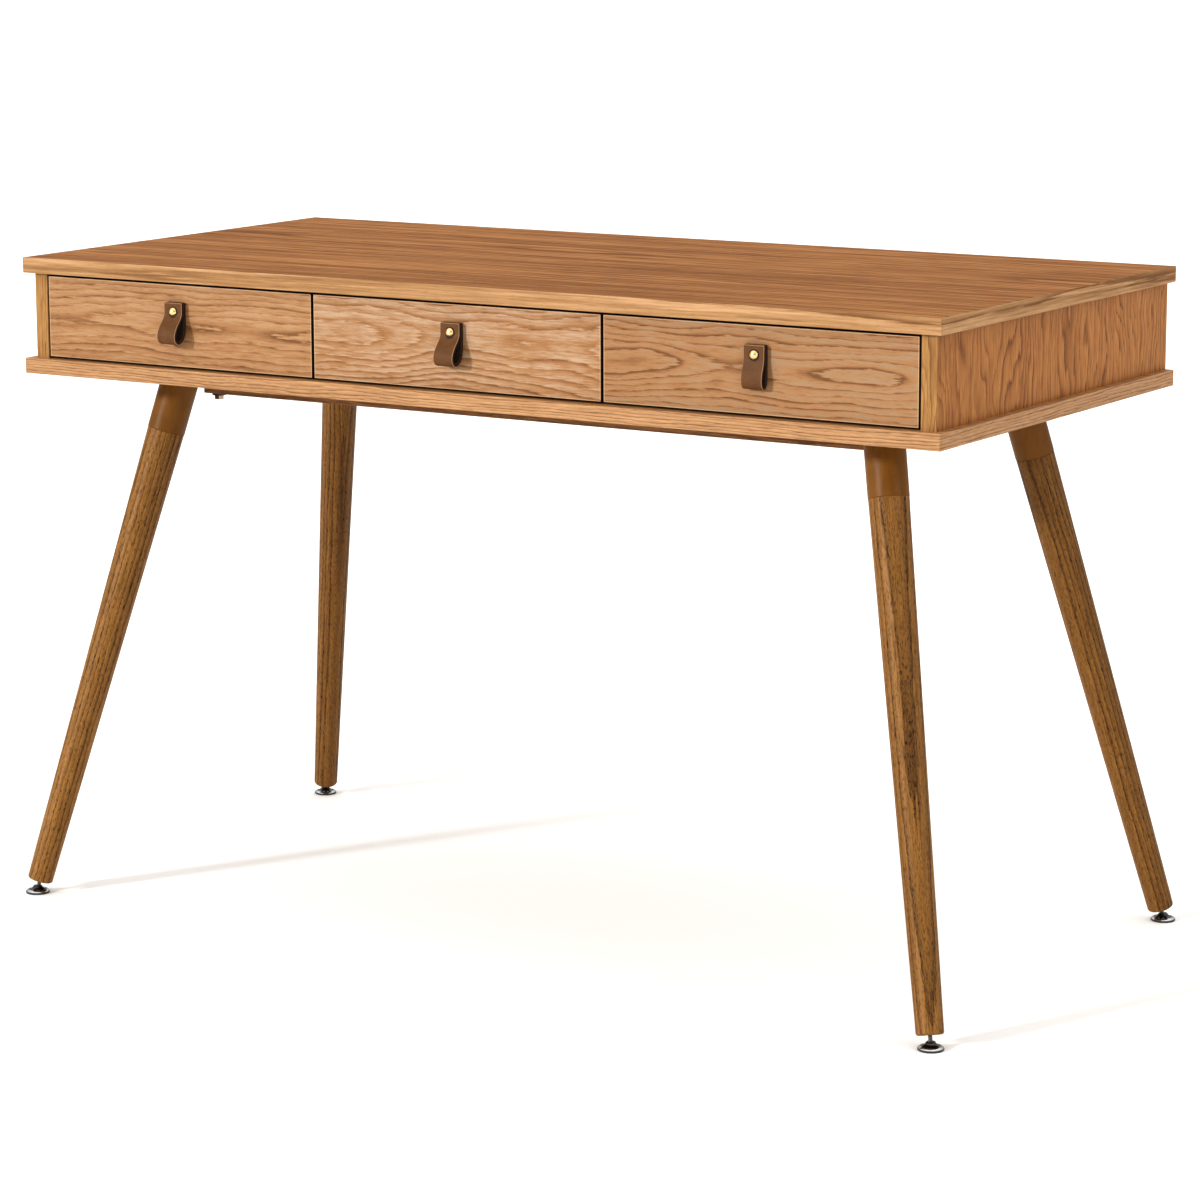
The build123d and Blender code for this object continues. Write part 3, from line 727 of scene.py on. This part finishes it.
pull = {
    "width": 25.0 * millimetre,
    "thickness": 3.8 * millimetre,
    "edgeRound": 0.9 * millimetre,
    "folds": {"left": "open", "middle": "open", "right": "flat"},
    # distance out from the drawer front, and height, both in millimetres:
    # from the inner end, round the loop, to the outer end
    "open": ((2.1, 724.0), (2.1, 706.0), (2.4, 693.0), (5.6, 683.4), (13.4, 678.7), (19.4, 681.4),
             (20.4, 688.2), (16.2, 696.4), (10.0, 703.8), (6.8, 709.4), (6.4, 715.0), (6.4, 724.0)),
    "flat": ((2.1, 724.0), (2.1, 696.0), (2.3, 686.5), (3.9, 681.0), (7.6, 679.0), (10.9, 682.0),
             (11.7, 687.5), (10.8, 694.0), (8.4, 701.0), (6.6, 708.0), (6.4, 715.0), (6.4, 724.0)),
    "stepsBetween": 9,
    "widthSteps": 14,
    "cornerSteps": 4,
    "endAngles": (8, 35, 65),
    "wave": 0.10 * millimetre,
    "waveRate": 190,
    # the painted shadow round the stud is centred this far off the stud
    "studShadowShift": (0.5 * millimetre, -0.35 * millimetre),
}


def smoothLine(points, steps):
    # a curve through the points, with the ends running straight on
    padded = [2 * points[0] - points[1], *points, 2 * points[-1] - points[-2]]
    line = []
    for first, start, end, last in zip(padded, padded[1:], padded[2:], padded[3:]):
        for step in range(steps):
            t = step / steps
            bend = 2 * first - 5 * start + 4 * end - last
            twist = 3 * start - first - 3 * end + last
            line.append(0.5 * (2 * start + (end - first) * t + bend * t ** 2 + twist * t ** 3))
    line.append(points[-1])
    return line


def roundedSection(width, thickness, radius, widthSteps, cornerSteps):
    # (aside, out, edge) round the section, where edge is 1 on the cut sides
    section = []
    for side, corner in ((1, 0), (1, 1), (-1, 2), (-1, 3)):
        turnSign = 1 if corner in (1, 2) else -1
        centre = ((width / 2 - radius) * side, (thickness / 2 - radius) * turnSign)
        for step in range(cornerSteps + 1):
            angle = math.radians(-90 + 90 * corner + 90 * step / cornerSteps)
            aside, out = centre[0] + radius * math.cos(angle), centre[1] + radius * math.sin(angle)
            section.append((aside, out, abs(math.cos(angle))))
        if corner in (1, 3):
            for step in range(1, widthSteps):
                aside = (width / 2 - radius) * (1 - 2 * step / widthSteps)
                section.append((aside * side, thickness / 2 * turnSign, 0.0))
    return section


def makePull(bay):
    frontLow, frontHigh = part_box("drawer_" + bay + "_front")
    studLow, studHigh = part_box("drawer_" + bay + "_stud")
    stud = (studLow + studHigh) / 2
    middleX, faceY = (frontLow.x + frontHigh.x) / 2, frontLow.y
    fold = pull[pull["folds"][bay]]
    points = [Vector((middleX, faceY - out * millimetre, height * millimetre))
              for out, height in fold]
    line = smoothLine(points, pull["stepsBetween"])
    run = [0.0]
    for start, end in zip(line, line[1:]):
        run.append(run[-1] + (end - start).length)

    places, edges, insides, asides, overs, rings = [], [], [], [], [], []
    section = roundedSection(pull["width"], pull["thickness"], pull["edgeRound"],
                             pull["widthSteps"], pull["cornerSteps"])
    # the strap's two ends are rounded over, so extra rings close in there
    radius = pull["edgeRound"]
    closing = [(math.sin(math.radians(angle)), radius * (1 - math.cos(math.radians(angle))))
               for angle in pull["endAngles"]]
    stations = [(0, fullness, back) for fullness, back in closing]
    stations += [(index, 1.0, 0.0) for index in range(1, len(line) - 1)]
    stations += [(len(line) - 1, fullness, back) for fullness, back in reversed(closing)]
    for index, fullness, back in stations:
        before, after = line[max(index - 1, 0)], line[min(index + 1, len(line) - 1)]
        ahead = (after - before).normalized()
        out = Vector((0.0, ahead.z, -ahead.y))
        atEnd = index in (0, len(line) - 1)
        centre = line[index]
        if atEnd:
            centre = centre + ahead * back * (1 if index == 0 else -1)
        closeIn = radius * (1 - fullness) if atEnd else 0.0
        ring = []
        for aside, thick, edge in section:
            share = min(1.0, abs(aside) / (pull["width"] / 2))
            narrowed = aside - math.copysign(closeIn, aside) * share
            thinned = thick * (1 - closeIn / (pull["thickness"] / 2))
            wave = pull["wave"] * math.sin(run[index] * pull["waveRate"] + 3 * aside / pull["width"])
            place = centre + Vector((narrowed, 0, 0)) + out * (thinned + (0.0 if atEnd else wave))
            ring.append(len(places))
            places.append(place)
            edges.append(0.9 if atEnd else edge)
            insides.append(1.0 if thick > 0 else 0.0)
            # distances from the centre of the painted shadow round the stud
            asides.append(place.x - stud.x - pull["studShadowShift"][0])
            overs.append(place.z - stud.z - pull["studShadowShift"][1])
        rings.append(ring)
    faces = []
    count = len(section)
    for ring, following in zip(rings, rings[1:]):
        for side in range(count):
            other = (side + 1) % count
            faces.append((ring[side], ring[other], following[other], following[side]))
    faces.append(tuple(reversed(rings[0])))
    faces.append(tuple(rings[-1]))

    mesh = bpy.data.meshes.new("pull_strap_" + bay)
    mesh.from_pydata([tuple(place) for place in places], [], faces)
    marks = {"edge": edges, "inside": insides, "asideStud": asides, "overStud": overs}
    for name, values in marks.items():
        mesh.attributes.new(name, "FLOAT", "POINT").data.foreach_set("value", values)
    mesh.polygons.foreach_set("use_smooth", [True] * len(mesh.polygons))
    mesh.materials.append(brownLeather)
    strap = bpy.data.objects.new("pull_strap_" + bay, mesh)
    bpy.context.scene.collection.objects.link(strap)
    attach(strap, "drawer_" + bay)
    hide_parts("drawer_" + bay + "_pull")
    return strap


for bay in bays:
    makePull(bay)
print("stage: leather pulls")


class Growth:
    # a Geometry Nodes tree with named inputs that ends in Realize Instances and Set Material
    def __init__(self, name, inputs):
        self.tree = bpy.data.node_groups.new(name, "GeometryNodeTree")
        self.tree.interface.new_socket("Geometry", in_out="OUTPUT", socket_type="NodeSocketGeometry")
        self.keys = {}
        for label, kind in inputs.items():
            socket = self.tree.interface.new_socket(
                label, in_out="INPUT", socket_type="NodeSocket" + kind)
            self.keys[label] = socket.identifier
        self.given = self.tree.nodes.new("NodeGroupInput")

    def ask(self, label):
        return self.given.outputs[label]

    def add(self, kind, settings=None, values=None, output=0):
        node = self.tree.nodes.new(kind)
        for key, value in (settings or {}).items():
            setattr(node, key, value)
        for key, value in (values or {}).items():
            if isinstance(value, bpy.types.NodeSocket):
                self.tree.links.new(value, node.inputs[key])
            else:
                node.inputs[key].default_value = value
        return node.outputs[output]

    def times(self, value, factor):
        return self.add("ShaderNodeMath", {"operation": "MULTIPLY"}, {0: value, 1: factor})

    def join(self, *parts):
        joined = self.tree.nodes.new("GeometryNodeJoinGeometry")
        for part in parts:
            self.tree.links.new(part, joined.inputs[0])
        return joined.outputs[0]

    def close(self, geometry):
        whole = self.add("GeometryNodeRealizeInstances", values={"Geometry": geometry})
        finished = self.add("GeometryNodeSetMaterial", values={
            "Geometry": whole, "Material": self.ask("Finish")})
        self.tree.links.new(finished, self.tree.nodes.new("NodeGroupOutput").inputs[0])

    def grow(self, name, smooth=True, **values):
        maker = bpy.data.objects.new(name, bpy.data.meshes.new(name + "Seed"))
        bpy.context.scene.collection.objects.link(maker)
        modifier = maker.modifiers.new("growth", "NODES")
        modifier.node_group = self.tree
        for label, value in values.items():
            modifier[self.keys[label.replace("_", " ")]] = value
        evaluated = maker.evaluated_get(bpy.context.evaluated_depsgraph_get())
        grown = bpy.data.meshes.new_from_object(evaluated)
        grown.name = name
        maker.modifiers.clear()
        maker.data = grown
        grown.polygons.foreach_set("use_smooth", [smooth] * len(grown.polygons))
        return maker


footStud = {
    "coreRadius": 1.95 * millimetre,
    "crest": 0.46 * millimetre,
    "pitch": 0.80 * millimetre,
    "ballRadius": 4.1 * millimetre,
    "stepsPerTurn": 18,
    "endGap": 0.6 * millimetre,
}


def threadTree():
    growth = Growth("threadedStud", {
        "Core Radius": "Float", "Crest": "Float", "Length": "Float", "Turns": "Float",
        "Steps": "Int", "Ball Radius": "Float", "Place": "Vector", "Turn": "Vector",
        "Finish": "Material"})
    helix = growth.add("GeometryNodeCurveSpiral", values={
        "Resolution": growth.ask("Steps"), "Rotations": growth.ask("Turns"),
        "Height": growth.ask("Length"),
        "Start Radius": growth.ask("Core Radius"), "End Radius": growth.ask("Core Radius")})
    tooth = growth.add("GeometryNodeCurvePrimitiveCircle", {"mode": "RADIUS"},
                       {"Resolution": 4, "Radius": growth.ask("Crest")})
    thread = growth.add("GeometryNodeCurveToMesh", values={
        "Curve": helix, "Profile Curve": tooth, "Fill Caps": True})
    core = growth.add("GeometryNodeMeshCylinder", values={
        "Vertices": 24, "Radius": growth.ask("Core Radius"), "Depth": growth.ask("Length")})
    lift = growth.add("ShaderNodeCombineXYZ", values={"Z": growth.times(growth.ask("Length"), 0.5)})
    shaft = growth.add("GeometryNodeTransform", values={"Geometry": core, "Translation": lift})
    ball = growth.add("GeometryNodeMeshUVSphere", values={
        "Segments": 28, "Rings": 16, "Radius": growth.ask("Ball Radius")})
    upright = growth.join(thread, shaft, ball)
    growth.close(growth.add("GeometryNodeTransform", values={
        "Geometry": upright, "Translation": growth.ask("Place"), "Rotation": growth.ask("Turn")}))
    return growth


def makeFootStuds():
    growth = threadTree()
    joints = {joint["name"]: joint for joint in frame["joints"]}
    for corner in corners:
        swivel, screw = joints["glide_" + corner + "_swivel"], joints["foot_" + corner + "_screw"]
        ballCentre = Vector(swivel["pos_m"])
        upLeg = -Vector(screw["axis"]).normalized()
        low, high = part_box("foot_stud_" + corner)
        length = (high.z - ballCentre.z) / upLeg.z - footStud["endGap"]
        turns = length / footStud["pitch"]
        stud = growth.grow(
            "threaded_stud_" + corner, Core_Radius=footStud["coreRadius"], Crest=footStud["crest"],
            Length=length, Turns=turns, Steps=footStud["stepsPerTurn"],
            Ball_Radius=footStud["ballRadius"], Place=tuple(ballCentre),
            Turn=tuple(upLeg.to_track_quat("Z", "Y").to_euler()), Finish=studSteel)
        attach(stud, "foot_" + corner)
        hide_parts("foot_stud_" + corner)


railBolt = {
    "headRadius": 5.9 * millimetre,
    "headHeight": 5.0 * millimetre,
    "domeHeight": 0.9 * millimetre,
    "washerRadius": 8.5 * millimetre,
    "washerBore": 3.2 * millimetre,
    "washerHeight": 2.5 * millimetre,
    "washerRound": 0.5 * millimetre,
    "shankRadius": 3.0 * millimetre,
    "crownShare": 0.80,
}


def onRailPoints(growth, part):
    # one copy of the part at each corner of a rectangle
    points = growth.add("GeometryNodeMeshGrid", values={
        "Size X": growth.ask("Spread X"), "Size Y": growth.ask("Spread Y"),
        "Vertices X": 2, "Vertices Y": 2})
    copies = growth.add("GeometryNodeInstanceOnPoints", values={"Points": points, "Instance": part})
    height = growth.add("ShaderNodeCombineXYZ", values={"Z": growth.ask("Level")})
    return growth.add("GeometryNodeTransform", values={"Geometry": copies, "Translation": height})


def fitToRail(piece):
    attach(piece, "frame")
    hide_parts("rail_bolts")


def headTree(shared):
    heads = Growth("boltHeads", {
        **shared, "Head Radius": "Float", "Head Height": "Float", "Dome": "Float",
        "Crown Share": "Float", "Shank Length": "Float", "Shank Radius": "Float"})
    hexagon = heads.add("GeometryNodeMeshCylinder", values={
        "Vertices": 6, "Radius": heads.ask("Head Radius"), "Depth": heads.ask("Head Height")})
    crown = heads.add("GeometryNodeMeshUVSphere", values={"Segments": 32, "Rings": 12, "Radius": 1.0})
    crownRadius = heads.times(heads.ask("Head Radius"), heads.ask("Crown Share"))
    crownScale = heads.add("ShaderNodeCombineXYZ", values={
        "X": crownRadius, "Y": crownRadius, "Z": heads.ask("Dome")})
    crownPlace = heads.add("ShaderNodeCombineXYZ", values={
        "Z": heads.times(heads.ask("Head Height"), -0.5)})
    cap = heads.add("GeometryNodeTransform", values={
        "Geometry": crown, "Scale": crownScale, "Translation": crownPlace})
    shank = heads.add("GeometryNodeMeshCylinder", values={
        "Vertices": 24, "Radius": heads.ask("Shank Radius"), "Depth": heads.ask("Shank Length")})
    shankPlace = heads.add("ShaderNodeCombineXYZ", values={
        "Z": heads.times(heads.ask("Shank Length"), 0.5)})
    stem = heads.add("GeometryNodeTransform", values={"Geometry": shank, "Translation": shankPlace})
    heads.close(onRailPoints(heads, heads.join(hexagon, cap, stem)))
    return heads


def washerTree(shared):
    washers = Growth("boltWashers", {
        **shared, "Middle Radius": "Float", "Width": "Float", "Height": "Float", "Round": "Float"})
    path = washers.add("GeometryNodeCurvePrimitiveCircle", {"mode": "RADIUS"},
                       {"Resolution": 48, "Radius": washers.ask("Middle Radius")})
    section = washers.add("GeometryNodeCurvePrimitiveQuadrilateral", {"mode": "RECTANGLE"},
                          {"Width": washers.ask("Width"), "Height": washers.ask("Height")})
    rounded = washers.add("GeometryNodeFilletCurve", {"mode": "POLY"},
                          {"Curve": section, "Radius": washers.ask("Round"), "Count": 3})
    ring = washers.add("GeometryNodeCurveToMesh", values={"Curve": path, "Profile Curve": rounded})
    washers.close(onRailPoints(washers, ring))
    return washers


def makeRailBolts():
    low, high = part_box("rail_bolts")
    bolt = railBolt
    spread = {
        "Spread_X": high.x - low.x - 2 * bolt["washerRadius"],
        "Spread_Y": high.y - low.y - 2 * bolt["washerRadius"],
    }
    shared = {"Spread X": "Float", "Spread Y": "Float", "Level": "Float", "Finish": "Material"}
    headMiddle = low.z + bolt["headHeight"] / 2
    fitToRail(headTree(shared).grow(
        "rail_bolt_heads", smooth=False, **spread, Level=headMiddle, Head_Radius=bolt["headRadius"],
        Head_Height=bolt["headHeight"] - bolt["domeHeight"], Dome=bolt["domeHeight"],
        Crown_Share=bolt["crownShare"], Shank_Length=high.z - headMiddle,
        Shank_Radius=bolt["shankRadius"], Finish=bronzedSteel))

    bore, rim = bolt["washerBore"], bolt["washerRadius"]
    washerMiddle = low.z + bolt["headHeight"] + bolt["washerHeight"] / 2
    fitToRail(washerTree(shared).grow(
        "rail_bolt_washers", **spread, Level=washerMiddle, Middle_Radius=(bore + rim) / 2,
        Width=rim - bore, Height=bolt["washerHeight"], Round=bolt["washerRound"], Finish=darkWasher))


makeFootStuds()
makeRailBolts()
print("stage: studs and bolts")
